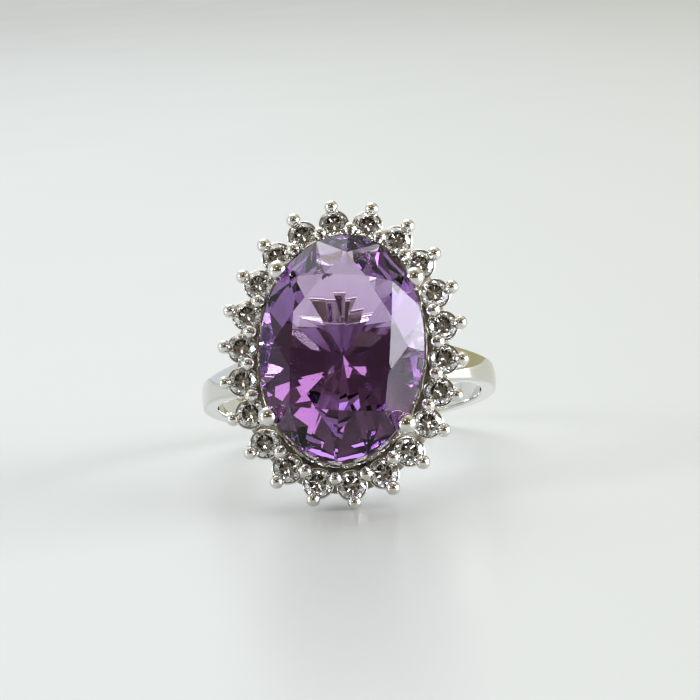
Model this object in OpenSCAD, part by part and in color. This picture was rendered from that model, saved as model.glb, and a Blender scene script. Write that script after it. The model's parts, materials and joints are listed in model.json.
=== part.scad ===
// Cocktail ring: an oval amethyst in four claws, inside a halo of round diamonds,
// on a plain white-gold band. It lies on a table, resting on the lowest bead of
// the halo and on the back edge of the band, with its head raised.
//
// Each module draws its piece as it is worn: the finger runs along Y, the head
// points up +Z and the origin is the centre of the finger bore. on_table() then
// lays the ring down around that origin.

/* [Centre stone] */
// Length of the oval stone, along the finger
stone_l = 14; // [12:0.1:17]
// Width of the oval stone, across the finger
stone_w = 10; // [8:0.1:12]
// Height of the crown above the girdle
crown_h = 1.7; // [1.2:0.1:2.2]
// Thickness of the girdle
girdle_h = 0.2; // [0.1:0.05:0.4]
// Depth of the pavilion below the girdle
pavilion_h = 4.5; // [3:0.1:5]
// Width of the table facet, as a share of the stone's width
table_share = 0.63; // [0.5:0.01:0.66]

/* [Claws] */
// Diameter of the ball at the tip of each claw
claw_tip_d = 1.25; // [0.9:0.05:1.5]
// Diameter of the claw wire
claw_wire_d = 0.8; // [0.6:0.05:0.9]
// How far the middle of a claw stands outside the girdle
claw_out = 0.3; // [0.2:0.05:0.45]
// How far the middle of a claw tip stands above the girdle
claw_up = 0.3; // [0.2:0.05:0.5]
// Which valley of the halo a claw fills, counted from the short axis
claw_valley = 2; // [1:1:3]

/* [Halo] */
// Number of stones in the halo
halo_n = 22; // [20:2:24]
// Diameter of each halo stone
halo_d = 1.7; // [1.4:0.05:1.8]
// Gap between the centre stone and the halo stones
halo_gap = 0.37; // [0.3:0.01:0.6]
// How far the halo stones sit below the centre stone's girdle
halo_drop = 1.8; // [0.8:0.05:2]
// Wall of the collet outside its stone
collet_wall = 0.24; // [0.15:0.01:0.35]
// Height of a collet below its stone's girdle
collet_h = 0.95; // [0.85:0.05:1.2]
// Thickness of the plate that joins the collets
plate_t = 0.3; // [0.25:0.05:0.5]

/* [Prong beads] */
// Diameter of the bead at the point of each collet
point_bead_d = 0.9; // [0.6:0.05:1.1]
// Distance from a halo stone's axis to its point bead
point_out = 1.1; // [1.05:0.01:1.35]
// Diameter of the bead that two halo stones share
shared_bead_d = 0.94; // [0.6:0.02:1]
// How far a shared bead stands inside the line of halo stones
shared_in = 0.42; // [0.38:0.01:0.5]
// Diameter of the wire under each bead
prong_wire_d = 0.36; // [0.3:0.02:0.4]
// Height of the beads' middles above the halo stones' girdles
bead_up = 0.3; // [0.2:0.05:0.4]
// How far the point beads' wires reach below the halo stones' girdles
point_wire_h = 0.35; // [0.2:0.05:0.8]

/* [Gallery] */
// Thickness of the scalloped wall under the centre stone
wall_t = 0.4; // [0.3:0.05:0.5]
// How far the scalloped wall stands outside the girdle
wall_out = 0.2; // [0.1:0.05:0.25]
// Width of each notch between two arches of the wall
notch_w = 0.9; // [0.6:0.05:1]
// Depth of each notch below the girdle
notch_h = 1.2; // [0.8:0.05:1.5]
// Height of the oval base ring
base_h = 0.7; // [0.5:0.05:1]
// Thickness of the oval base ring
base_t = 0.8; // [0.7:0.05:1.1]
// How far the base ring's middle lies inside the girdle
base_in = 2.1; // [1.8:0.05:2.4]
// Diameter of the posts between the base ring and the halo plate
post_d = 0.7; // [0.5:0.05:0.75]

/* [Band] */
// Inner diameter of the band, the finger size
finger_d = 17.35; // [14:0.05:22]
// Thickness of the band at its crest
band_t = 1.05; // [0.9:0.05:1.6]
// Width of the band at the back
band_w = 1.65; // [1.4:0.05:3]
// Width of the band under the head
band_top_w = 3.2; // [2.4:0.1:4.4]
// Radius of the band's domed outside, across its width
dome_r = 4; // [3:0.1:12]
// Metal left under the head, where the band is cut flat
seat_t = 0.55; // [0.4:0.05:0.8]
// Gap between the stone's point and the flat on the band
point_gap = 0.25; // [0.1:0.05:0.6]
// Turn of the head on the band, clockwise from the front
head_turn = 7.5; // [0:0.5:12]

/* [Hidden] */
$fn = 64;
e = 0.01; // overshoot of a cut past the face it opens

// Heights along the head's axis, from the finger axis up.
finger_r = finger_d / 2;
band_r = finger_r + band_t;
seat_z = finger_r + seat_t;
base_z = seat_z + base_h;
girdle_z = seat_z + point_gap + pavilion_h;
halo_z = girdle_z - halo_drop;
plate_top = halo_z - collet_h;
plate_z = plate_top - plate_t;
bead_z = halo_z + bead_up;
point_foot_z = halo_z - point_wire_h;
tip_z = girdle_z + girdle_h + claw_up;

// The halo stones are one round brilliant, in proportion to its diameter.
halo_r = halo_d / 2;
halo_crown = 0.16 * halo_d;
halo_girdle = 0.03 * halo_d;
halo_pavilion = 0.43 * halo_d;
light_r = 0.53 * halo_r; // hole under each halo stone
halo_line = halo_gap + halo_r; // line of the halo stones, out from the girdle

// A brilliant's inner corners, as shares of its radius.
star_share = (1 + table_share * cos(22.5)) / 2;
lower_share = 0.23;
star_rise = 1 - (star_share * cos(22.5) - table_share) / (1 - table_share);

// Curves parallel to the centre stone's girdle, at distance d outside it.
function out_from(t) =
    [stone_l * cos(t), stone_w * sin(t)] / norm([stone_l * cos(t), stone_w * sin(t)]);
function on_oval(d, t) = [stone_w / 2 * cos(t), stone_l / 2 * sin(t)] + d * out_from(t);

// Even steps along the line of halo stones: spot(i) is the oval's angle at stone i,
// and spot(i + 0.5) at the valley after it.
line_table = [
    for (t = 0, s = 0; t <= 360; s = s + norm(on_oval(halo_line, t + 1) - on_oval(halo_line, t)), t = t + 1)
        [s, t]
];
line_length = line_table[360][0];
function spot(i) = let (turns = floor(i / halo_n))
    360 * turns + lookup((i / halo_n - turns) * line_length, line_table);
line_steps = 6; // corners of an oval outline for each halo stone
function oval(d) = [for (j = [0 : halo_n * line_steps - 1]) on_oval(d, spot(j / line_steps))];

claw_valleys = [claw_valley, halo_n / 2 - 1 - claw_valley, halo_n / 2 + claw_valley, halo_n - 1 - claw_valley];
function is_claw_valley(k) = max([for (v = claw_valleys) v == k ? 1 : 0]) == 1;
post_angles = [0, 64, 116, 180, 244, 296];

// Width of the band at height z: plain to the finger axis, then widening to the head.
function band_width(z) = band_w + (band_top_w - band_w) * pow(max(0, z) / seat_z, 3);
function dome_drop(w) = dome_r - sqrt(dome_r * dome_r - w * w / 4);

// The lie: the angle between the finger axis and the upright at which the lowest
// bead, or the foot of its wire, and the band's back edge are level.
function turned(p) = p.y * cos(head_turn) - p.x * sin(head_turn);
low_bead = min([for (i = [0 : halo_n - 1]) turned(on_oval(halo_line + point_out, spot(i)))]);
back_r = band_r - dome_drop(band_w);
function bead_low(a) = bead_z * sin(a) - point_bead_d / 2;
function wire_low(a) = point_foot_z * sin(a) - prong_wire_d / 2 * cos(a);
function step_between(a) =
    low_bead * cos(a) + min(bead_low(a), wire_low(a)) + band_w / 2 * cos(a) + back_r * sin(a);
function level_angle(a, b, n) =
    n == 0 ? (a + b) / 2
    : step_between((a + b) / 2) < 0 ? level_angle((a + b) / 2, b, n - 1)
    : level_angle(a, (a + b) / 2, n - 1);
lie = level_angle(0, 60, 30);

white_gold = "#d4d7da";
amethyst_purple = "#7d47a8";
diamond_clear = "#e9f2fb";

function two_digits(i) = str(i < 10 ? "0" : "", i);

// ---- where things go ----

module on_table() rotate([90 - lie, 0, 0]) children();

module on_head() on_table() rotate([0, 0, -head_turn]) children();

// Moves to distance d outside the girdle at oval angle t, X pointing outward.
module beside_girdle(t, d, z) {
    p = on_oval(d, t);
    n = out_from(t);
    translate([p.x, p.y, z]) rotate([0, 0, atan2(n.y, n.x)]) children();
}

module at_stone(i) beside_girdle(spot(i), halo_line, halo_z) children();

// A closed wall between two curves parallel to the girdle.
module oval_wall(d_in, d_out, z, h) translate([0, 0, z]) linear_extrude(h)
    difference() {
        polygon(oval(d_out));
        polygon(oval(d_in));
    }

// A straight round wire between two points.
module wire(a, b, d) {
    v = b - a;
    translate(a)
        rotate([0, acos(v.z / norm(v)), atan2(v.y, v.x)])
        cylinder(d = d, h = norm(v));
}

// ---- stones ----

// A brilliant with its girdle's lower edge at z = 0: 8 kites, 8 stars and 16 girdle
// facets over 8 mains and 16 lower facets. Facet 1 starts at angle turn.
module brilliant(w, l, crown, girdle, pavilion, turn) {
    function at(r, a, z) = [w / 2 * r * cos(a + turn), l / 2 * r * sin(a + turn), z];
    corners = concat(
        [for (k = [0 : 7]) at(table_share, 45 * k, girdle + crown)],
        [for (k = [0 : 7]) at(star_share, 45 * k + 22.5, girdle + crown * star_rise)],
        [for (j = [0 : 15]) at(1, 22.5 * j, girdle)],
        [for (j = [0 : 15]) at(1, 22.5 * j, 0)],
        [for (k = [0 : 7]) at(lower_share, 45 * k + 22.5, -pavilion * (1 - lower_share * cos(22.5)))],
        [at(0, 0, -pavilion)]
    );
    function table(k) = k % 8;
    function star(k) = 8 + (k + 8) % 8;
    function upper(j) = 16 + j % 16;
    function lower(j) = 32 + j % 16;
    function deep(k) = 48 + (k + 8) % 8;
    polyhedron(corners, concat(
        [[for (k = [7 : -1 : 0]) table(k)]],
        [for (k = [0 : 7]) [table(k), table(k + 1), star(k)]],
        [for (k = [0 : 7]) [table(k), star(k), upper(2 * k), star(k - 1)]],
        [for (k = [0 : 7]) [star(k), upper(2 * k + 1), upper(2 * k)]],
        [for (k = [0 : 7]) [star(k), upper(2 * k + 2), upper(2 * k + 1)]],
        [for (j = [0 : 15]) [upper(j), upper(j + 1), lower(j + 1), lower(j)]],
        [for (k = [0 : 7]) [lower(2 * k), lower(2 * k + 1), deep(k)]],
        [for (k = [0 : 7]) [lower(2 * k + 1), lower(2 * k + 2), deep(k)]],
        [for (k = [0 : 7]) [lower(2 * k), deep(k), 56, deep(k - 1)]]
    ));
}

// The oval stone: a brilliant cut off by a smooth oval, which leaves its girdle
// scalloped under the facets.
module oval_stone() intersection() {
    over = 1 / cos(11.25);
    translate([0, 0, girdle_z]) brilliant(stone_w * over, stone_l * over, crown_h, girdle_h, pavilion_h, 22.5);
    translate([0, 0, seat_z]) linear_extrude(pavilion_h + girdle_h + crown_h + 1) polygon(oval(0));
}

// The space that a halo stone's girdle and crown turn in.
module halo_stone_room() rotate_extrude() polygon([
    [0, 0],
    [halo_r, 0],
    [halo_r, halo_girdle],
    [halo_r * star_share, halo_girdle + halo_crown * star_rise],
    [halo_r * table_share, halo_girdle + halo_crown],
    [0, halo_girdle + halo_crown]
]);

module amethyst() color(amethyst_purple) on_head() oval_stone();

module diamond(i) color(diamond_clear) on_head() at_stone(i)
    brilliant(halo_d, halo_d, halo_crown, halo_girdle, halo_pavilion, 0);

// ---- claws and prongs ----

// A claw rises from the base ring, bends up beside the girdle and ends in a ball.
module claw_form(c) {
    t = spot(claw_valleys[c - 1] + 0.5);
    foot = on_oval(-base_in, t);
    bend = on_oval(claw_out, t);
    bend_z = girdle_z - 0.3;
    wire([foot.x, foot.y, base_z], [bend.x, bend.y, bend_z], claw_wire_d);
    translate([bend.x, bend.y, bend_z]) {
        sphere(d = claw_wire_d * 1.03);
        cylinder(d = claw_wire_d, h = tip_z - bend_z);
    }
    translate([bend.x, bend.y, tip_z]) sphere(d = claw_tip_d);
}

module claw(c) color(white_gold) on_head() difference() {
    claw_form(c);
    oval_stone();
    translate([0, 0, base_z - 2]) linear_extrude(2) square(stone_l, center = true);
}

module bead_prong(bead_d, foot_z) {
    translate([0, 0, bead_z]) sphere(d = bead_d);
    translate([0, 0, foot_z]) cylinder(d = prong_wire_d, h = bead_z - foot_z);
}

// One bead on a short wire at the point of each collet.
module point_prongs() color(white_gold) on_head()
    for (i = [0 : halo_n - 1]) difference() {
        beside_girdle(spot(i), halo_line + point_out, 0) bead_prong(point_bead_d, point_foot_z);
        at_stone(i) halo_stone_room();
    }

// One bead in each valley inside the halo, except where a claw stands.
module shared_prongs() color(white_gold) on_head()
    for (k = [0 : halo_n - 1]) if (!is_claw_valley(k)) difference() {
        beside_girdle(spot(k + 0.5), halo_line - shared_in, 0) bead_prong(shared_bead_d, plate_top);
        at_stone(k) halo_stone_room();
        at_stone(k + 1) halo_stone_room();
    }

// ---- halo ----

// A round wall drawn out to a point, which is cut off at the bead's wire.
module collet_outline() {
    r = halo_r + collet_wall;
    tip = point_out + 0.1;
    edge = acos(r / tip); // where the straight sides leave the round wall
    half = (tip - point_out) * r * sin(edge) / (tip - r * cos(edge));
    polygon(concat(
        [[point_out, -half], [point_out, half]],
        [for (j = [0 : 40]) let (a = edge + (360 - 2 * edge) * j / 40) r * [cos(a), sin(a)]]
    ));
}

// The ground between the valleys on both sides of stone i, outside the gallery wall.
module own_ground(i) {
    far = halo_line + point_out + point_bead_d;
    polygon(concat(
        [on_oval(far, spot(i - 0.5)), on_oval(far, spot(i + 0.5))],
        [for (j = [line_steps / 2 : -1 : -line_steps / 2]) on_oval(wall_out, spot(i + j / line_steps))]
    ));
}

// The pocket for a stone over its light hole. The stone touches it at the girdle.
module stone_pocket() {
    seat_depth = 0.6 * halo_pavilion;
    rotate_extrude() polygon([
        [0, -collet_h - e],
        [light_r, -collet_h - e],
        [light_r, -seat_depth],
        [halo_r, 0],
        [halo_r, 1],
        [0, 1]
    ]);
}

// The outline of collet i on the table of the head, notched for the wires around it.
module collet_plan(i) difference() {
    intersection() {
        beside_girdle(spot(i), halo_line, 0) collet_outline();
        own_ground(i);
    }
    beside_girdle(spot(i), halo_line + point_out, 0) circle(d = prong_wire_d);
    for (k = [i - 1, i]) if (!is_claw_valley((k + halo_n) % halo_n))
        beside_girdle(spot(k + 0.5), halo_line - shared_in, 0) circle(d = prong_wire_d);
}

// A collet narrows to its foot.
module collet(i) color(white_gold) on_head() difference() {
    intersection() {
        translate([0, 0, plate_top]) linear_extrude(collet_h + halo_girdle) collet_plan(i);
        at_stone(i) translate([0, 0, -collet_h])
            cylinder(r1 = halo_r * 0.9, r2 = point_out + 0.3, h = collet_h + halo_girdle);
    }
    at_stone(i) stone_pocket();
}

// A flat ring that the collets stand on, with a light hole under each stone.
module halo_plate() color(white_gold) on_head() difference() {
    oval_wall(wall_out, halo_line + 0.3, plate_z, plate_t);
    for (i = [0 : halo_n - 1]) at_stone(i)
        translate([0, 0, -collet_h - plate_t - e]) cylinder(r = light_r, h = plate_t + 2 * e);
}

// ---- gallery ----

// A notch with a round floor, open at the top.
module notch_outline() polygon(concat(
    [[notch_w / 2, notch_h], [-notch_w / 2, notch_h]],
    [for (j = [0 : 12]) let (a = 180 + 15 * j) notch_w / 2 * [cos(a), sin(a)]]
));

// The wall that carries the centre stone: an arch inside each halo stone and a notch
// at each valley, let into the claws and cut to the stone's underside.
module gallery_wall() color(white_gold) on_head() difference() {
    oval_wall(wall_out - wall_t, wall_out, plate_z, girdle_z - plate_z);
    for (k = [0 : halo_n - 1])
        beside_girdle(spot(k + 0.5), wall_out - wall_t / 2, girdle_z - notch_h + notch_w / 2)
            rotate([90, 0, 90]) linear_extrude(wall_t * 3, center = true) notch_outline();
    for (c = [1 : 4]) claw_form(c);
    oval_stone();
}

// The oval foot of the basket, on the flat of the band.
module base_ring() color(white_gold) on_head()
    oval_wall(-base_in - base_t / 2, -base_in + base_t / 2, seat_z, base_h);

// Posts that lean out from the base ring to the halo plate.
module gallery_posts() color(white_gold) on_head()
    for (t = post_angles) intersection() {
        foot = on_oval(-base_in, t);
        top = on_oval((wall_out + halo_line) / 2, t);
        lean = (top - foot) / (plate_z - base_z);
        wire(concat(foot - lean, base_z - 1), concat(top + lean, plate_z + 1), post_d);
        translate([-stone_l, -stone_l, base_z]) cube([2 * stone_l, 2 * stone_l, plate_z - base_z]);
    }

// ---- band ----

// The band's outline from the side, from the back up to the flat under the head.
band_steps = 24;
function band_side(side) = [
    for (j = [0 : band_steps]) let (z = seat_z * j / band_steps) [side * band_width(z) / 2, z]
];
band_outline = concat(
    [[-band_w / 2, -band_r - 1], [band_w / 2, -band_r - 1]],
    band_side(1),
    [for (j = [band_steps : -1 : 0]) band_side(-1)[j]]
);

// A domed hoop with a round bore, trimmed to its outline.
module band() color(white_gold) on_table() intersection() {
    rotate([-90, 0, 0]) rotate_extrude() intersection() {
        translate([band_r - dome_r, 0]) circle(r = dome_r);
        translate([finger_r, -band_top_w]) square([band_t, 2 * band_top_w]);
    }
    rotate([90, 0, 90]) translate([0, 0, -band_r - 1]) linear_extrude(2 * band_r + 2) polygon(band_outline);
}

band();
base_ring();
gallery_posts();
halo_plate();
gallery_wall();
claw(1);  // claw_1
claw(2);  // claw_2
claw(3);  // claw_3
claw(4);  // claw_4
amethyst();
point_prongs();
shared_prongs();
for (i = [1 : halo_n]) collet(i - 1);
for (i = [1 : halo_n]) diamond(i - 1);
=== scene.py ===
import json
import math

import bmesh
import bpy
from mathutils import Matrix, Vector


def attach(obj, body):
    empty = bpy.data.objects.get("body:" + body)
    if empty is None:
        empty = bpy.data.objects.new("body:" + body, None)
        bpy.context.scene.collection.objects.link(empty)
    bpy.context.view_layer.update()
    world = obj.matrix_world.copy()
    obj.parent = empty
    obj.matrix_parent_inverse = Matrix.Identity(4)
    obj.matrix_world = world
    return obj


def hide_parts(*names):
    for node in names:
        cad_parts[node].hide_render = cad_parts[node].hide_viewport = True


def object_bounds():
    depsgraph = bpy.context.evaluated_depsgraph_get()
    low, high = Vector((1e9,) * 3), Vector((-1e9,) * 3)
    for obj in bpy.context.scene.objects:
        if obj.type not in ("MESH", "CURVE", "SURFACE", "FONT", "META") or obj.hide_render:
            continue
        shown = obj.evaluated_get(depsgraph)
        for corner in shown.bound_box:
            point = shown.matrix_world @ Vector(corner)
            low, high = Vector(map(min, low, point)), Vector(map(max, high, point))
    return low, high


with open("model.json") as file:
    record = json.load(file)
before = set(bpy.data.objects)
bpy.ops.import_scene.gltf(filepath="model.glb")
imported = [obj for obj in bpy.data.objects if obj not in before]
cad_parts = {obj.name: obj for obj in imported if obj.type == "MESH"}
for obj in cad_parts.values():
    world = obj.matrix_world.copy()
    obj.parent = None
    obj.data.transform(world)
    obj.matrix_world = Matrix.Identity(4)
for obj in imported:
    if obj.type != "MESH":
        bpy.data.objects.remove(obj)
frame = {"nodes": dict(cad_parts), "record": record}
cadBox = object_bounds()
print("loaded", len(frame["nodes"]), "nodes")

# Sizes are in millimetres, as the ring is worn: the finger runs along Y, the head points up Z and
# the middle of the finger bore is at the origin. A finished mesh is laid on the table in metres.
metre = 0.001
bore = frame["record"]["mounts"][0]
lie = math.asin(bore["axis"][1])  # between the finger's axis and the upright
headTurn = math.radians(7.5)
onTable = Matrix.Rotation(math.pi / 2 - lie, 4, "X")
onHead = onTable @ Matrix.Rotation(-headTurn, 4, "Z")


def wornBox(node, lay):
    # lowest and highest corner of a CAD node as the ring is worn
    points = [lay.inverted() @ (v.co / metre) for v in frame["nodes"][node].data.vertices]
    low = Vector([min(p[k] for p in points) for k in range(3)])
    high = Vector([max(p[k] for p in points) for k in range(3)])
    return low, high


stoneLow, stoneHigh = wornBox("amethyst", onHead)
diamondLow, diamondHigh = wornBox("diamond_01", onHead)
plateLow, plateHigh = wornBox("halo_plate", onHead)
footLow, footHigh = wornBox("base_ring", onHead)
beadHigh = wornBox("point_prongs", onHead)[1]
bandLow, bandHigh = wornBox("band", onTable)

stone = {
    "width": stoneHigh.x - stoneLow.x,
    "length": stoneHigh.y - stoneLow.y,
    "girdleZ": stoneHigh.z - 1.9,   # the girdle and the crown are 1.9 high
    "girdleH": 0.2,
}
halo = {
    "count": len([n for n in frame["nodes"] if n.startswith("diamond_")]),
    "radius": (diamondHigh.x - diamondLow.x) / 2,
    "line": (diamondHigh.x + diamondLow.x) / 2 - stone["width"] / 2,  # outside the girdle
    "girdleZ": plateHigh.z + 0.95,  # a collet is 0.95 high
    "unevenness": 0.04,             # of what is worked by hand
}


def outward(angle):
    return Vector((stone["length"] * math.cos(angle), stone["width"] * math.sin(angle), 0)).normalized()


def onOval(out, angle, z=0.0):
    # a point on the curve that runs at distance out round the amethyst's girdle
    p = Vector((stone["width"] / 2 * math.cos(angle), stone["length"] / 2 * math.sin(angle), z))
    return p + out * outward(angle)


# How far the line of the halo has run at each of many small steps round the oval.
lineSteps = 1440
lineAngles = [2 * math.pi * k / lineSteps for k in range(lineSteps + 1)]
linePlaces = [onOval(halo["line"], angle) for angle in lineAngles]
lineRun = [0.0]
for k in range(lineSteps):
    lineRun.append(lineRun[-1] + (linePlaces[k + 1] - linePlaces[k]).length)
pitch = lineRun[-1] / halo["count"]


def spot(i):
    # oval angle at halo diamond i; i + 0.5 is the valley after it
    turns, share = divmod(i / halo["count"], 1)
    run = share * lineRun[-1]
    k = next(k for k in range(lineSteps) if lineRun[k + 1] >= run)
    part = (run - lineRun[k]) / (lineRun[k + 1] - lineRun[k])
    return 2 * math.pi * turns + lineAngles[k] + part * (lineAngles[k + 1] - lineAngles[k])


def newPiece(name, mesh):
    piece = bpy.data.objects.new(name, mesh)
    bpy.context.scene.collection.objects.link(piece)
    return piece


def loftMesh(name, shells):
    # Each shell is a list of closed loops of points, joined in order. The loops of a ringed shell
    # close up into a ring, and those of any other end in loops drawn together to a point.
    bm = bmesh.new()
    for loops, ringed in shells:
        rows = [[bm.verts.new(p) for p in loop] for loop in loops]
        pairs = list(zip(rows, rows[1:])) + ([(rows[-1], rows[0])] if ringed else [])
        for low, high in pairs:
            for j in range(len(low)):
                k = (j + 1) % len(low)
                bm.faces.new((low[j], low[k], high[k], high[j]))
    bmesh.ops.remove_doubles(bm, verts=bm.verts, dist=1e-5)
    bmesh.ops.recalc_face_normals(bm, faces=bm.faces)
    mesh = bpy.data.meshes.new(name)
    bm.to_mesh(mesh)
    bm.free()
    return mesh


def finishPiece(piece, lay, material, nodes, sharpAngle=40):
    # lays a mesh on the table, gives it its finish and lets it ride on the frame
    piece.data.transform(Matrix.Scale(metre, 4) @ lay)
    piece.data.shade_smooth()
    piece.data.set_sharp_from_angle(angle=math.radians(sharpAngle))
    piece.data.materials.clear()
    piece.data.materials.append(material)
    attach(piece, "root")
    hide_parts(*nodes)
    print("made", piece.name, len(piece.data.polygons), "faces")


def circleTurns(count):
    return [2 * math.pi * j / count for j in range(count)]


def sweepUp(angle, path, steps):
    # loops round a wire that rises in the upright plane through the oval's outward direction;
    # path holds (distance outside the girdle, height, radius)
    side = Vector((0, 0, 1)).cross(outward(angle))
    centres = [onOval(out, angle, z) for out, z, r in path]
    loops = []
    for k, (out, z, r) in enumerate(path):
        run = centres[min(k + 1, len(path) - 1)] - centres[max(k - 1, 0)]
        across = side.cross(run.normalized()) if run.length > 0 else outward(angle)
        turns = circleTurns(steps)
        loops.append([centres[k] + r * (math.cos(a) * across + math.sin(a) * side) for a in turns])
    return loops


def ballRows(ballR, neckR, count):
    # (height from the ball's middle, radius) from where a ball leaves its wire up to its top
    start = math.asin(neckR / ballR)
    angles = [start + (math.pi - start) * k / count for k in range(count + 1)]
    return [(-ballR * math.cos(a), ballR * math.sin(a)) for a in angles]


def addNode(tree, kind, settings=None, inputs=None):
    node = tree.nodes.new(kind)
    for key, value in (settings or {}).items():
        setattr(node, key, value)
    for key, value in (inputs or {}).items():
        if isinstance(value, bpy.types.NodeSocket):
            tree.links.new(value, node.inputs[key])
        else:
            node.inputs[key].default_value = value
    return node


def haloTree():
    # sets one piece at even steps along the line of the halo, turned to face outward
    tree = bpy.data.node_groups.new("set_along_halo", "GeometryNodeTree")
    sockets = {
        "Geometry": "NodeSocketGeometry", "Oval Width": "NodeSocketFloat", "Oval Length": "NodeSocketFloat",
        "Line": "NodeSocketFloat", "Places": "NodeSocketInt", "Every": "NodeSocketInt",
        "First": "NodeSocketInt", "Piece": "NodeSocketObject", "Keep Clear Of": "NodeSocketObject",
        "Clearance": "NodeSocketFloat", "Unevenness": "NodeSocketFloat", "Seed": "NodeSocketInt",
        "Finish": "NodeSocketMaterial",
    }
    for name, kind in sockets.items():
        tree.interface.new_socket(name, in_out="INPUT", socket_type=kind)
    tree.interface.new_socket("Geometry", in_out="OUTPUT", socket_type="NodeSocketGeometry")
    given = addNode(tree, "NodeGroupInput").outputs

    # the girdle's oval, and the line of the halo at its distance outside it
    circle = addNode(tree, "GeometryNodeCurvePrimitiveCircle", inputs={"Resolution": 720, "Radius": 0.5})
    position = addNode(tree, "GeometryNodeInputPosition")
    place = addNode(tree, "ShaderNodeSeparateXYZ", inputs={0: position.outputs[0]})
    wide = addNode(tree, "ShaderNodeMath", {"operation": "MULTIPLY"},
                   {0: place.outputs["X"], 1: given["Oval Width"]})
    long = addNode(tree, "ShaderNodeMath", {"operation": "MULTIPLY"},
                   {0: place.outputs["Y"], 1: given["Oval Length"]})
    ovalPlace = addNode(tree, "ShaderNodeCombineXYZ", inputs={"X": wide.outputs[0], "Y": long.outputs[0]})
    oval = addNode(tree, "GeometryNodeSetPosition",
                   inputs={"Geometry": circle.outputs[0], "Position": ovalPlace.outputs[0]})
    tangent = addNode(tree, "GeometryNodeInputTangent")
    facing = addNode(tree, "ShaderNodeVectorMath", {"operation": "CROSS_PRODUCT"},
                     {0: tangent.outputs[0], 1: (0, 0, 1)})
    outFrom = addNode(tree, "ShaderNodeVectorMath", {"operation": "SCALE"},
                      {0: facing.outputs[0], "Scale": given["Line"]})
    line = addNode(tree, "GeometryNodeSetPosition",
                   inputs={"Geometry": oval.outputs[0], "Offset": outFrom.outputs[0]})
    stored = addNode(tree, "GeometryNodeStoreNamedAttribute",
                     {"data_type": "FLOAT_VECTOR", "domain": "POINT"},
                     {"Geometry": line.outputs[0], "Name": "facing", "Value": facing.outputs[0]})
    places = addNode(tree, "GeometryNodeResampleCurve",
                     inputs={"Curve": stored.outputs[0], "Count": given["Places"]})

    # which of the places are used: every so many, and none beside a claw
    index = addNode(tree, "GeometryNodeInputIndex")
    rest = addNode(tree, "ShaderNodeMath", {"operation": "MODULO"}, {0: index.outputs[0], 1: given["Every"]})
    wanted = addNode(tree, "ShaderNodeMath", {"operation": "COMPARE"},
                     {0: rest.outputs[0], 1: given["First"], 2: 0.1})
    claws = addNode(tree, "GeometryNodeObjectInfo", inputs={"Object": given["Keep Clear Of"]})
    near = addNode(tree, "GeometryNodeProximity", {"target_element": "POINTS"},
                   {0: claws.outputs["Geometry"]})
    free = addNode(tree, "ShaderNodeMath", {"operation": "GREATER_THAN"},
                   {0: near.outputs["Distance"], 1: given["Clearance"]})
    chosen = addNode(tree, "ShaderNodeMath", {"operation": "MULTIPLY"},
                     {0: wanted.outputs[0], 1: free.outputs[0]})

    # one piece at each, every one a little different in size
    faced = addNode(tree, "GeometryNodeInputNamedAttribute", {"data_type": "FLOAT_VECTOR"},
                    {"Name": "facing"})
    turned = addNode(tree, "FunctionNodeAlignRotationToVector", {"axis": "X", "pivot_axis": "Z"},
                     {"Vector": faced.outputs[0]})
    piece = addNode(tree, "GeometryNodeObjectInfo", inputs={"Object": given["Piece"], "As Instance": True})
    placed = addNode(tree, "GeometryNodeInstanceOnPoints",
                     inputs={"Points": places.outputs[0], "Selection": chosen.outputs[0],
                             "Instance": piece.outputs["Geometry"], "Rotation": turned.outputs[0]})
    smallest = addNode(tree, "ShaderNodeMath", {"operation": "SUBTRACT"}, {0: 1.0, 1: given["Unevenness"]})
    size = addNode(tree, "FunctionNodeRandomValue", {"data_type": "FLOAT"},
                   {2: smallest.outputs[0], 3: 1.0, "Seed": given["Seed"]})
    worked = addNode(tree, "GeometryNodeScaleInstances",
                     inputs={"Instances": placed.outputs[0], "Scale": size.outputs[1],
                             "Center": (0, 0, halo["girdleZ"])})
    solid = addNode(tree, "GeometryNodeRealizeInstances", inputs={"Geometry": worked.outputs[0]})
    done = addNode(tree, "GeometryNodeSetMaterial",
                   inputs={"Geometry": solid.outputs[0], "Material": given["Finish"]})
    addNode(tree, "NodeGroupOutput", inputs={0: done.outputs[0]})
    return tree


def growPiece(name, tree, sizes):
    # runs a node tree on an empty piece and keeps its result as a plain mesh
    piece = newPiece(name, bpy.data.meshes.new(name))
    modifier = piece.modifiers.new("nodes", "NODES")
    modifier.node_group = tree
    for item in tree.interface.items_tree:
        if item.item_type == "SOCKET" and item.in_out == "INPUT" and item.name in sizes:
            modifier[item.identifier] = sizes[item.name]
    depsgraph = bpy.context.evaluated_depsgraph_get()
    mesh = bpy.data.meshes.new_from_object(piece.evaluated_get(depsgraph), depsgraph=depsgraph)
    piece.modifiers.remove(modifier)
    piece.data = mesh
    mesh.name = name
    return piece


def hexColour(code):
    # sRGB hex to linear red, green, blue and alpha
    parts = [int(code[k:k + 2], 16) / 255 for k in (1, 3, 5)]
    return [p / 12.92 if p <= 0.04045 else ((p + 0.055) / 1.055) ** 2.4 for p in parts] + [1.0]


def newMaterial(name):
    material = bpy.data.materials.new(name)
    material.use_nodes = True
    tree = material.node_tree
    return material, tree, tree.nodes["Principled BSDF"], tree.nodes["Material Output"]


def noiseSize(size):
    # scale of a noise whose patches are about size millimetres across
    return 1 / (size * metre)


polish = {"colour": "#e6e4df", "smooth": 0.02, "dull": 0.08, "patch": 0.45, "line": 0.12}
cast = {"colour": "#dad7cf", "smooth": 0.32, "dull": 0.5, "grain": 0.1}
gem = {"tint": "#f6eef9", "depth": "#b058cc", "density": 135.0, "speck": 0.16}
brilliant = {"tint": "#f6f7fa", "dull": 0.02, "line": 0.2}


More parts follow.
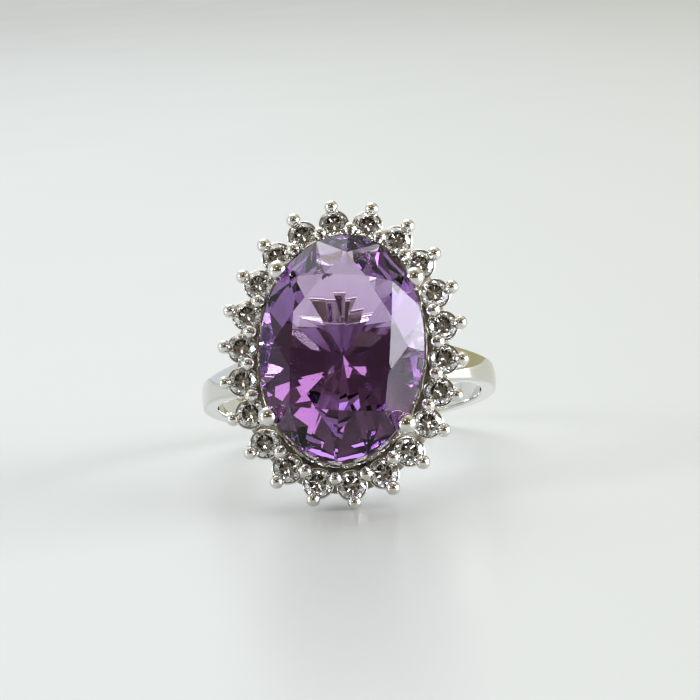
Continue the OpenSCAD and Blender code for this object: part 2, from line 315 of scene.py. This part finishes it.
def rhodiumPlatedGold():
    # white gold, rhodium plated and buffed to a mirror: near white, a little warm, and the buff
    # leaves soft patches and faint lines, drawn wider than the real ones so that they show
    material, tree, shader, output = newMaterial("rhodium_plated_white_gold")
    shader.inputs["Base Color"].default_value = hexColour(polish["colour"])
    shader.inputs["Metallic"].default_value = 1.0
    where = addNode(tree, "ShaderNodeTexCoord")
    patches = addNode(tree, "ShaderNodeTexNoise",
                      inputs={"Vector": where.outputs["Object"], "Scale": noiseSize(polish["patch"]),
                              "Detail": 4.0})
    rough = addNode(tree, "ShaderNodeMapRange",
                    inputs={"Value": patches.outputs[0], "From Min": 0.35, "From Max": 0.7,
                            "To Min": polish["smooth"], "To Max": polish["dull"]})
    tree.links.new(rough.outputs[0], shader.inputs["Roughness"])
    drawn = addNode(tree, "ShaderNodeMapping",
                    inputs={"Vector": where.outputs["Object"], "Scale": (1.0, 0.25, 1.0)})
    lines = addNode(tree, "ShaderNodeTexNoise",
                    inputs={"Vector": drawn.outputs[0], "Scale": noiseSize(polish["line"]), "Detail": 3.0})
    bump = addNode(tree, "ShaderNodeBump",
                   inputs={"Height": lines.outputs[0], "Strength": 0.05, "Distance": 0.02 * metre})
    tree.links.new(bump.outputs[0], shader.inputs["Normal"])
    return material


def castGold():
    # the same gold where no buff reaches, inside the basket: tumbled after casting, so satin grey
    # with a fine grain
    material, tree, shader, output = newMaterial("tumbled_cast_white_gold")
    shader.inputs["Base Color"].default_value = hexColour(cast["colour"])
    shader.inputs["Metallic"].default_value = 1.0
    where = addNode(tree, "ShaderNodeTexCoord")
    grain = addNode(tree, "ShaderNodeTexNoise",
                    inputs={"Vector": where.outputs["Object"], "Scale": noiseSize(cast["grain"]),
                            "Detail": 5.0})
    rough = addNode(tree, "ShaderNodeMapRange",
                    inputs={"Value": grain.outputs[0], "From Min": 0.3, "From Max": 0.7,
                            "To Min": cast["smooth"], "To Max": cast["dull"]})
    tree.links.new(rough.outputs[0], shader.inputs["Roughness"])
    bump = addNode(tree, "ShaderNodeBump",
                   inputs={"Height": grain.outputs[0], "Strength": 0.25, "Distance": 0.01 * metre})
    tree.links.new(bump.outputs[0], shader.inputs["Normal"])
    return material


def amethystQuartz():
    # amethyst, cut and polished: clear purple quartz whose colour deepens with the light's path,
    # with a few tiny feathers and specks near the surface
    material, tree, shader, output = newMaterial("faceted_amethyst")
    shader.inputs["Transmission Weight"].default_value = 1.0
    shader.inputs["IOR"].default_value = 1.544
    shader.inputs["Base Color"].default_value = hexColour(gem["tint"])
    where = addNode(tree, "ShaderNodeTexCoord")
    specks = addNode(tree, "ShaderNodeTexNoise",
                     inputs={"Vector": where.outputs["Object"], "Scale": noiseSize(gem["speck"]),
                             "Detail": 2.0})
    rough = addNode(tree, "ShaderNodeMapRange",
                    inputs={"Value": specks.outputs[0], "From Min": 0.68, "From Max": 0.74,
                            "To Min": 0.0, "To Max": 0.25})
    tree.links.new(rough.outputs[0], shader.inputs["Roughness"])
    depth = addNode(tree, "ShaderNodeVolumeAbsorption",
                    inputs={"Color": hexColour(gem["depth"]), "Density": gem["density"]})
    tree.links.new(depth.outputs[0], output.inputs["Volume"])
    return material


def brilliantDiamond():
    # diamond, brilliant cut: colourless, with a very high index that throws the light back, and
    # the faint lines of its polish
    material, tree, shader, output = newMaterial("brilliant_cut_diamond")
    shader.inputs["Transmission Weight"].default_value = 1.0
    shader.inputs["IOR"].default_value = 2.417
    shader.inputs["Base Color"].default_value = hexColour(brilliant["tint"])
    where = addNode(tree, "ShaderNodeTexCoord")
    lines = addNode(tree, "ShaderNodeTexNoise",
                    inputs={"Vector": where.outputs["Object"], "Scale": noiseSize(brilliant["line"])})
    rough = addNode(tree, "ShaderNodeMapRange",
                    inputs={"Value": lines.outputs[0], "To Min": 0.0, "To Max": brilliant["dull"]})
    tree.links.new(rough.outputs[0], shader.inputs["Roughness"])
    return material


gold = rhodiumPlatedGold()
satin = castGold()
amethyst = amethystQuartz()
diamond = brilliantDiamond()
print("finishes ready")

band = {
    "boreR": bore["dims"]["r_mm"],
    "outerR": (bandHigh.x - bandLow.x) / 2,
    "backW": 1.65,
    "topW": bandHigh.y - bandLow.y,
    "domeR": 4.0,
    "edge": 0.16,      # rounding of the long edges
    "around": 256,
    "across": 14,
}


def bandWidth(z):
    return band["backW"] + (band["topW"] - band["backW"]) * (max(0, z) / bandHigh.z) ** 3


def makeBand():
    # a domed hoop, flat and wider under the head
    def worn(z):
        return min(z, bandHigh.z)

    half = band["across"]
    shares = [math.sin(math.pi / 2 * k / half) for k in range(-half, half + 1)]
    edgeFrom = 1 - band["edge"] / (band["backW"] / 2)
    loops = []
    for a in circleTurns(band["around"]):
        width = bandWidth(worn(band["outerR"] * math.cos(a)))
        loop = []
        for inside in (True, False):
            for share in (shares if inside else reversed(shares)):
                past = max(0.0, (abs(share) - edgeFrom) / (1 - edgeFrom))
                rounding = band["edge"] * (1 - math.sqrt(max(0.0, 1 - past * past)))
                dome = band["domeR"] - math.sqrt(band["domeR"] ** 2 - (share * width / 2) ** 2)
                r = band["boreR"] + rounding if inside else band["outerR"] - dome - rounding
                loop.append(Vector((r * math.sin(a), share * width / 2, worn(r * math.cos(a)))))
        loops.append(loop)
    piece = newPiece("band_shank", loftMesh("band_shank", [(loops, True)]))
    finishPiece(piece, onTable, gold, ["band"])


makeBand()

basket = {
    "footIn": 2.1,           # the foot's middle, inside the girdle
    "footT": 0.8,
    "footEdge": 0.16,
    "footAround": 160,
    "postD": 0.7,
    "postTopOut": 0.71,
    "postAngles": (0, 64, 116, 180, 244, 296),
    "into": 0.05,            # a post's ends run this far into what they stand on
}


def roundedSection(low, high, edge, steps):
    # corners of a rounded rectangle, as (distance out, height)
    corners = ((high[0] - edge, high[1] - edge, 0), (low[0] + edge, high[1] - edge, 90),
               (low[0] + edge, low[1] + edge, 180), (high[0] - edge, low[1] + edge, 270))
    points = []
    for cx, cz, start in corners:
        for k in range(steps + 1):
            a = math.radians(start + 90 * k / steps)
            points.append((cx + edge * math.cos(a), cz + edge * math.sin(a)))
    return points


def makeBaseRing():
    half = basket["footT"] / 2
    section = roundedSection((-basket["footIn"] - half, footLow.z), (-basket["footIn"] + half, footHigh.z),
                             basket["footEdge"], 5)
    loops = [[onOval(out, a, z) for out, z in section] for a in circleTurns(basket["footAround"])]
    piece = newPiece("basket_foot", loftMesh("basket_foot", [(loops, True)]))
    finishPiece(piece, onHead, satin, ["base_ring"])


def makePosts():
    r = basket["postD"] / 2
    foot = (-basket["footIn"], footHigh.z - basket["into"])
    top = (basket["postTopOut"], plateLow.z + basket["into"])
    path = [(*foot, 0.0), (*foot, r), (*top, r), (*top, 0.0)]
    shells = [(sweepUp(math.radians(degrees), path, 32), False) for degrees in basket["postAngles"]]
    piece = newPiece("basket_posts", loftMesh("basket_posts", shells))
    finishPiece(piece, onHead, satin, ["gallery_posts"])


makeBaseRing()
makePosts()

claw = {
    "valleys": (2, 8, 13, 19),   # the valleys of the halo that claws stand in
    "wireR": 0.4,
    "tipR": 0.625,
    "out": 0.3,
    "up": 0.3,
    "bendBelow": 0.3,
    "bendRun": 0.9,              # how far below the bend the wire starts to curve
}
tipZ = stone["girdleZ"] + stone["girdleH"] + claw["up"]


def makeClaw(number, valley):
    # rises from the foot of the basket, bends up beside the girdle and ends in a ball
    foot = Vector((-basket["footIn"], footHigh.z - 0.1))
    bend = Vector((claw["out"], stone["girdleZ"] - claw["bendBelow"]))
    lean = (bend - foot).normalized()
    into = bend - claw["bendRun"] * lean
    away = bend + Vector((0, claw["bendBelow"]))
    r = claw["wireR"]
    path = [(foot.x, foot.y, 0.0), (foot.x, foot.y, r)]
    for k in range(9):
        s = k / 8
        p = (1 - s) ** 2 * into + 2 * s * (1 - s) * bend + s * s * away
        path.append((p.x, p.y, r))
    path += [(claw["out"], tipZ + z, ballR) for z, ballR in ballRows(claw["tipR"], r, 20)]
    name = "claw_%d_polished" % number
    mesh = loftMesh(name, [(sweepUp(spot(valley + 0.5), path, 40), False)])
    finishPiece(newPiece(name, mesh), onHead, gold, ["claw_%d" % number])


for number, valley in enumerate(claw["valleys"], 1):
    makeClaw(number, valley)

gallery = {
    "wallOut": 0.2,
    "wallT": 0.4,
    "notchW": 0.9,
    "notchH": 1.2,
    "edge": 0.07,
    "steps": 40,         # in each arch
    "pitchShare": 0.84,  # the wall stands inside the line of the halo
}


def makeGalleryWall():
    # an arch inside each halo diamond, a notch at each valley
    inner = gallery["wallOut"] - gallery["wallT"]
    wallPitch = pitch * gallery["pitchShare"]
    loops = []
    for k in range(halo["count"] * gallery["steps"]):
        fromDiamond = abs((k / gallery["steps"] + 0.5) % 1 - 0.5)
        fromValley = (0.5 - fromDiamond) * wallPitch
        share = min(1.0, fromValley / (gallery["notchW"] / 2))
        top = stone["girdleZ"] - gallery["notchH"] * (1 - share ** 3) ** 0.6
        section = [(inner, plateLow.z), (inner, top - 0.3), (0.0, top - 0.02),
                   (gallery["wallOut"] - gallery["edge"], top), (gallery["wallOut"] - 0.02, top - 0.02),
                   (gallery["wallOut"], top - gallery["edge"]), (gallery["wallOut"], plateLow.z)]
        angle = spot(k / gallery["steps"])
        loops.append([onOval(out, angle, z) for out, z in section])
    piece = newPiece("gallery_arches", loftMesh("gallery_arches", [(loops, True)]))
    finishPiece(piece, onHead, gold, ["gallery_wall"])


makeGalleryWall()

collet = {
    "sideR": pitch / 2 - 0.02,
    "point": 1.2,       # how far the outline's point reaches
    "footShare": 0.78,
    "height": 0.95,
    "lightR": 0.45,
    "around": 72,
}
prong = {
    "wireR": 0.18,
    "pointOut": 1.1,
    "pointR": 0.45,
    "pointWire": 0.35,
    "sharedIn": 0.42,
    "sharedR": 0.47,
}
beadZ = beadHigh.z - prong["pointR"]


def colletShape():
    # round wall drawn out to a point, narrower at its foot, with a seat and a light hole
    top = halo["girdleZ"]
    edge = math.acos(collet["sideR"] / collet["point"])
    turns = [turn - math.pi for turn in circleTurns(collet["around"])]

    def drop(size, z):
        # the pointed outline
        radii = [collet["sideR"] * size / math.cos(max(0.0, edge - abs(a))) for a in turns]
        return [Vector((r * math.cos(a), r * math.sin(a), z)) for r, a in zip(radii, turns)]

    def disc(r, z):
        return [Vector((r * math.cos(a), r * math.sin(a), z)) for a in turns]

    loops = [drop(collet["footShare"], top - collet["height"]),
             drop(0.9, top - 0.5),
             drop(0.985, top - 0.06),
             drop(0.97, top),
             drop(0.93, top + 0.03),
             disc(halo["radius"] + 0.01, top + 0.03),
             disc(halo["radius"] - 0.01, top - 0.02),
             disc(collet["lightR"], top - 0.45),
             disc(collet["lightR"], top - collet["height"])]
    return newPiece("collet_shape", loftMesh("collet_shape", [(loops, True)]))


def prongShape(name, out, footZ, ballR):
    # a ball on a short wire
    rows = [(footZ, 0.0), (footZ, prong["wireR"])]
    rows += [(beadZ + z, r) for z, r in ballRows(ballR, prong["wireR"], 18)]
    loops = [[Vector((out + r * math.cos(a), r * math.sin(a), z)) for a in circleTurns(36)] for z, r in rows]
    return newPiece(name, loftMesh(name, [(loops, False)]))


clawMarks = bpy.data.meshes.new("claw_places")
clawMarks.from_pydata([onOval(halo["line"], spot(v + 0.5)) for v in claw["valleys"]], [], [])
clawPlaces = newPiece("claw_places", clawMarks)
settingTree = haloTree()
aroundStone = {"Oval Width": stone["width"], "Oval Length": stone["length"], "Line": halo["line"],
               "Finish": gold, "Keep Clear Of": clawPlaces, "Unevenness": halo["unevenness"]}
everyStone = {"Places": halo["count"], "Every": 1, "First": 0, "Clearance": -1.0}
everyValley = {"Places": 2 * halo["count"], "Every": 2, "First": 1, "Clearance": 0.5}
helpers = [clawPlaces]


def makeHalo(name, shape, nodes, sizes):
    piece = growPiece(name, settingTree, {**aroundStone, "Piece": shape, **sizes})
    finishPiece(piece, onHead, gold, nodes)
    helpers.append(shape)


colletNodes = ["collet_%02d" % (k + 1) for k in range(halo["count"])]
pointShape = prongShape("point_shape", prong["pointOut"], halo["girdleZ"] - prong["pointWire"],
                        prong["pointR"])
sharedShape = prongShape("shared_shape", -prong["sharedIn"], plateHigh.z, prong["sharedR"])
makeHalo("halo_collets", colletShape(), colletNodes, everyStone)
makeHalo("halo_point_beads", pointShape, ["point_prongs"], {**everyStone, "Seed": 3})
makeHalo("halo_shared_beads", sharedShape, ["shared_prongs"], {**everyValley, "Seed": 5})
for helper in helpers:
    bpy.data.objects.remove(helper)

# The stones and the halo plate keep their CAD shapes and take better finishes.
for name, node in frame["nodes"].items():
    finish = amethyst if name == "amethyst" else diamond if name.startswith("diamond_") else satin
    node.data.materials.clear()
    node.data.materials.append(finish)
print("stones finished")

studio = {
    "table": "#d3d6d6",
    "tableSize": 5.0,        # metres
    "room": "#dfe5ea",       # what the camera sees past the table
    "rightWall": "#a39e78",
    "leftWall": "#ccd2da",
}
roomStops = [(0.0, "#5c544a"), (0.06, "#625a4f"), (0.2, "#a29c88"), (0.32, "#c9c8ba"), (0.5, "#dde0de"),
             (1.0, "#f4f8fb")]
lights = [
    {"name": "window", "at": (0.38, -0.08, 0.10), "size": (0.42, 0.16), "watts": 1.8, "colour": "#f4f6ff"},
    {"name": "sky", "at": (-0.06, 0.26, 0.42), "size": (0.40, 0.40), "watts": 0.75, "colour": "#f6faff"},
    {"name": "lamp", "at": (-0.06, -0.28, 0.36), "size": (0.10, 0.10), "watts": 0.05, "colour": "#fff4ea"},
    {"name": "spark_left", "at": (-0.22, -0.36, 0.16), "size": (0.04, 0.04), "watts": 0.03,
     "colour": "#ffffff"},
    {"name": "spark_right", "at": (0.20, -0.34, 0.22), "size": (0.04, 0.04), "watts": 0.03,
     "colour": "#fff0ec"},
    {"name": "left_glint", "at": (-0.34, -0.10, 0.12), "size": (0.09, 0.12), "watts": 0.3,
     "colour": "#ffffff"},
]


def tableTop():
    # white gloss laminate, wiped clean: pale, with a soft reflection
    material, tree, shader, output = newMaterial("white_gloss_laminate")
    shader.inputs["Base Color"].default_value = hexColour(studio["table"])
    where = addNode(tree, "ShaderNodeTexCoord")
    wipes = addNode(tree, "ShaderNodeTexNoise",
                    inputs={"Vector": where.outputs["Object"], "Scale": noiseSize(30)})
    rough = addNode(tree, "ShaderNodeMapRange",
                    inputs={"Value": wipes.outputs[0], "To Min": 0.28, "To Max": 0.36})
    tree.links.new(rough.outputs[0], shader.inputs["Roughness"])
    return material


def makeTable():
    reach = studio["tableSize"] / 2
    level = cadBox[0].z
    mesh = bpy.data.meshes.new("table_top")
    corners = [(-reach, -reach, level), (reach, -reach, level), (reach, reach, level), (-reach, reach, level)]
    mesh.from_pydata(corners, [], [(0, 1, 2, 3)])
    mesh.materials.append(tableTop())
    newPiece("table_top", mesh)


def makeRoom():
    # a bright room with a dark place in front of the ring, which the stones and the balls show
    world = bpy.data.worlds.new("studio_room")
    bpy.context.scene.world = world
    world.use_nodes = True
    tree = world.node_tree
    where = addNode(tree, "ShaderNodeTexCoord")
    toBack = addNode(tree, "ShaderNodeVectorMath", {"operation": "DOT_PRODUCT"},
                     {0: where.outputs["Generated"], 1: Vector((-0.05, 0.9, -0.43))})
    share = addNode(tree, "ShaderNodeMapRange",
                    inputs={"Value": toBack.outputs["Value"], "From Min": -1.0, "From Max": 1.0})
    ramp = addNode(tree, "ShaderNodeValToRGB", inputs={0: share.outputs[0]})
    while len(ramp.color_ramp.elements) < len(roomStops):
        ramp.color_ramp.elements.new(1.0)
    for stop, (place, code) in zip(ramp.color_ramp.elements, roomStops):
        stop.position = place
        stop.color = hexColour(code)
    around = ramp.outputs[0]
    walls = (((0.77, 0.64, 0.0), studio["rightWall"]), ((-0.95, 0.3, 0.0), studio["leftWall"]))
    for toward, code in walls:
        side = addNode(tree, "ShaderNodeVectorMath", {"operation": "DOT_PRODUCT"},
                       {0: where.outputs["Generated"], 1: toward})
        reach = addNode(tree, "ShaderNodeMapRange", {"interpolation_type": "SMOOTHSTEP"},
                        {"Value": side.outputs["Value"], "From Min": 0.5, "From Max": 0.9, "To Max": 0.9})
        wall = addNode(tree, "ShaderNodeMix", {"data_type": "RGBA"},
                       {0: reach.outputs[0], 6: around, 7: hexColour(code)})
        around = wall.outputs[2]
    seen = addNode(tree, "ShaderNodeLightPath")
    mix = addNode(tree, "ShaderNodeMix", {"data_type": "RGBA"},
                  {0: seen.outputs["Is Camera Ray"], 6: around, 7: hexColour(studio["room"])})
    tree.links.new(mix.outputs[2], tree.nodes["Background"].inputs["Color"])


def makeLight(light):
    lamp = bpy.data.lights.new(light["name"], "AREA")
    lamp.shape = "RECTANGLE"
    lamp.size, lamp.size_y = light["size"]
    lamp.energy = light["watts"]
    lamp.color = hexColour(light["colour"])[:3]
    lampObject = newPiece(light["name"], lamp)
    lampObject.location = light["at"]
    lampObject.rotation_euler = Vector(light["at"]).to_track_quat("Z", "Y").to_euler()


makeTable()
makeRoom()
for light in lights:
    makeLight(light)
print("table and lights ready")

view = {
    "elevation": 10.6,
    "azimuth": 0.9,
    "roll": 4.6,
    "distance": 155.0,
    "widthSeen": 42.9,  # millimetres across the picture, at the head
    "aimRight": 0.45,   # the head stands a little left of the middle
    "aimUp": 0.17,
}


def makeCamera():
    el = math.radians(view["elevation"])
    az = math.radians(view["azimuth"])
    back = Vector((math.sin(az) * math.cos(el), -math.cos(az) * math.cos(el), math.sin(el)))
    right = Vector((math.cos(az), math.sin(az), 0))
    up = back.cross(right)
    roll = Matrix.Rotation(-math.radians(view["roll"]), 3, "Z")
    turned = Matrix((right, up, back)).transposed() @ roll
    headMiddle = onHead @ Vector((0, 0, beadZ))
    aim = headMiddle + turned @ Vector((view["aimRight"], view["aimUp"], 0))
    lens = bpy.data.cameras.new("camera")
    lens.sensor_width = 36.0
    lens.lens = lens.sensor_width * view["distance"] / view["widthSeen"]
    lens.clip_start = 0.005
    camera = newPiece("camera", lens)
    camera.matrix_world = Matrix.Translation((aim + back * view["distance"]) * metre) @ turned.to_4x4()
    bpy.context.scene.camera = camera


makeCamera()
bpy.context.scene.view_settings.view_transform = "Standard"
bpy.context.scene.view_settings.look = "Medium High Contrast"

bpy.context.view_layer.update()
